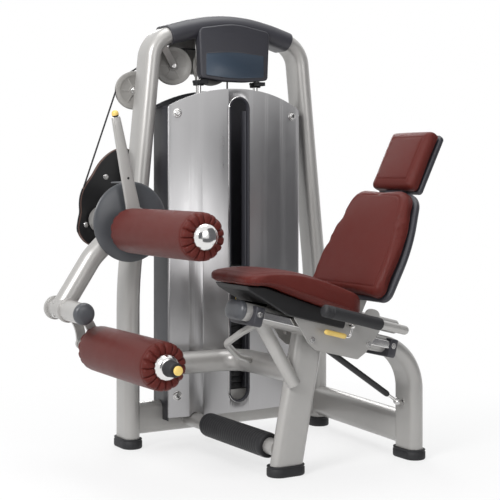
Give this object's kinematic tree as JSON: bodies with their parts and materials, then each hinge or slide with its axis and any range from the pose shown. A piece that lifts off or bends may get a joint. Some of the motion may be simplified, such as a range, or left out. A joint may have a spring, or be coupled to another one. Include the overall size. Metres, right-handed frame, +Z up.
{
  "type": "seated leg curl machine",
  "caption": "Seated leg curl machine: weight tower behind a bulged steel shroud, knee axis with cam, arm and padded rollers, and a padded seat that slides on inclined rails.",
  "frame": {"origin": "centre of the footprint, on the floor", "axes": "+Z up; +X towards the backrest, so the user faces -X; +Y towards the weight tower"},
  "size_m": [1.144, 1.011, 1.4987],
  "materials": {
    "frame_paint": "satin, warm silver grey",
    "brushed_steel": "upright brush lines",
    "chrome": "polished",
    "dark_plastic": "fine grain",
    "rubber": "matte",
    "red_leather": "grained, dark red",
    "yellow_plastic": "satin",
    "black_iron": "black enamel",
    "grey_plastic": "fine grain",
    "placard_blue": "bare plate"
  },
  "bodies": {
    "frame": {"arch_frame": "frame_paint", "base_beam": "frame_paint", "beam_end_cap": "grey_plastic", "brace_tube": "frame_paint", "dome_cover": "grey_plastic", "axle_housing": "frame_paint", "foot_seat_front": "rubber", "foot_seat_rear": "rubber", "foot_tower_left": "rubber", "foot_tower_right": "rubber", "front_leg": "frame_paint", "front_shroud": "brushed_steel", "guide_rod_left": "chrome", "guide_rod_right": "chrome", "head_bracket": "frame_paint", "head_cover": "dark_plastic", "link_tube": "frame_paint", "loop_handle": "frame_paint", "placard": "placard_blue", "rail_far": "chrome", "rail_near": "chrome", "rear_base_tube": "frame_paint", "rear_cover": "dark_plastic", "seat_beam": "frame_paint", "slot_trim": "chrome", "step_pad": "rubber", "step_tube": "frame_paint", "weight_plates": "black_iron", "cable_main": "rubber", "cable_drop": "rubber"},
    "stack": {"top_plate": "brushed_steel", "lifted_plates": "black_iron"},
    "pin": {"selector_pin": "yellow_plastic"},
    "cam": {"cam": "black_iron"},
    "arm": {"movement_arm": "frame_paint", "arm_end_cap": "grey_plastic"},
    "shin_bracket": {"shin_bracket": "frame_paint", "shin_hub": "chrome"},
    "shin_pad": {"shin_roller": "red_leather"},
    "shin_push": {"shin_button": "yellow_plastic"},
    "thigh_lever": {"thigh_lever": "frame_paint", "thigh_shaft": "chrome"},
    "thigh_pad": {"thigh_roller": "red_leather"},
    "lever_push": {"lever_button": "yellow_plastic"},
    "wheel_outer": {"pulley_outer": "grey_plastic"},
    "wheel_upper": {"pulley_upper": "grey_plastic"},
    "wheel_stack": {"pulley_stack": "grey_plastic"},
    "seat": {"carriage": "frame_paint", "seat_pan": "black_iron", "seat_pad": "red_leather", "backrest_pad": "red_leather", "headrest_pad": "red_leather", "back_shell": "dark_plastic", "handle_bar": "frame_paint", "grip_near": "rubber", "grip_far": "rubber"},
    "lock": {"lock_lever": "chrome", "lever_grip": "yellow_plastic"},
    "strut_rod": {"strut_rod": "chrome"},
    "strut_body": {"strut_cylinder": "black_iron"}
  },
  "joints": [
    {"name": "stack_lift", "type": "slide", "parent": "frame", "child": "stack", "axis": [0, 0, 1], "range_m": [0, 0.06], "deforming": ["cable_drop"]},
    {"name": "pin_pull", "type": "slide", "parent": "stack", "child": "pin", "axis": [0, -1, 0], "range_m": [0, 0.048]},
    {"name": "cam_turn", "type": "hinge", "parent": "frame", "child": "cam", "pos_m": [-0.311, 0.471, 0.778], "axis": [0, -1, 0], "range_deg": [0, 33], "deforming": ["cable_main"]},
    {"name": "arm_start", "type": "hinge", "parent": "cam", "child": "arm", "pos_m": [-0.311, 0.25, 0.778], "axis": [0, -1, 0], "range_deg": [-55, 0]},
    {"name": "shin_set", "type": "hinge", "parent": "arm", "child": "shin_bracket", "pos_m": [-0.538, 0.25, 0.5], "axis": [0, 1, 0], "range_deg": [-15, 0]},
    {"name": "shin_pad_spin", "type": "hinge", "parent": "shin_bracket", "child": "shin_pad", "pos_m": [-0.446, -0.06, 0.377], "axis": [0, 1, 0], "continuous": true},
    {"name": "shin_push", "type": "slide", "parent": "shin_bracket", "child": "shin_push", "axis": [0, 1, 0], "range_m": [0, 0.008], "stiffness_N_per_m": 400, "springref_m": -0.004},
    {"name": "thigh_set", "type": "hinge", "parent": "frame", "child": "thigh_lever", "pos_m": [-0.311, 0.17, 0.778], "axis": [0, -1, 0], "range_deg": [-25, 40]},
    {"name": "thigh_pad_spin", "type": "hinge", "parent": "thigh_lever", "child": "thigh_pad", "pos_m": [-0.341, -0.1, 0.752], "axis": [0, 1, 0], "continuous": true},
    {"name": "lever_push", "type": "slide", "parent": "thigh_lever", "child": "lever_push", "axis": [0.2033, 0, -0.9791], "range_m": [0, 0.004], "stiffness_N_per_m": 400, "springref_m": -0.004},
    {"name": "wheel_outer_spin", "type": "hinge", "parent": "frame", "child": "wheel_outer", "pos_m": [-0.181, 0.452, 1.229], "axis": [-0.2669, -0.9637, 0], "range_deg": [0, 60]},
    {"name": "wheel_upper_spin", "type": "hinge", "parent": "frame", "child": "wheel_upper", "pos_m": [-0.048, 0.41517, 1.318], "axis": [-0.2669, -0.9637, 0], "range_deg": [0, 60]},
    {"name": "wheel_stack_spin", "type": "hinge", "parent": "frame", "child": "wheel_stack", "pos_m": [0.0854, 0.37823, 1.318], "axis": [-0.2669, -0.9637, 0], "range_deg": [0, 60]},
    {"name": "seat_slide", "type": "slide", "parent": "frame", "child": "seat", "axis": [0.9684, 0, -0.2495], "range_m": [-0.1, 0.035]},
    {"name": "lock_turn", "type": "hinge", "parent": "seat", "child": "lock", "pos_m": [0.17635, -0.359, 0.46291], "axis": [0, 1, 0], "range_deg": [0, 18], "stiffness_Nm_per_rad": 2, "springref_deg": -17.19},
    {"name": "strut_swing", "type": "hinge", "parent": "frame", "child": "strut_rod", "pos_m": [0.44, -0.25, 0.185], "axis": [0.1121, 0.8934, 0.435], "range_deg": [-4.12, 1.44]},
    {"name": "strut_slide", "type": "slide", "parent": "strut_rod", "child": "strut_body", "axis": [-0.8371, -0.151, 0.5258], "range_m": [-0.03359, 0.09596]}
  ],
  "couplings": [
    {"joint": "cam_turn", "follows": "stack_lift", "rad_per_m": 9.5238},
    {"joint": "wheel_outer_spin", "follows": "stack_lift", "rad_per_m": 16.447},
    {"joint": "wheel_upper_spin", "follows": "stack_lift", "rad_per_m": 16.447},
    {"joint": "wheel_stack_spin", "follows": "stack_lift", "rad_per_m": 16.447},
    {"joint": "strut_swing", "follows": "seat_slide", "rad_per_m": 0.70471},
    {"joint": "strut_slide", "follows": "seat_slide", "ratio": -0.95011}
  ]
}
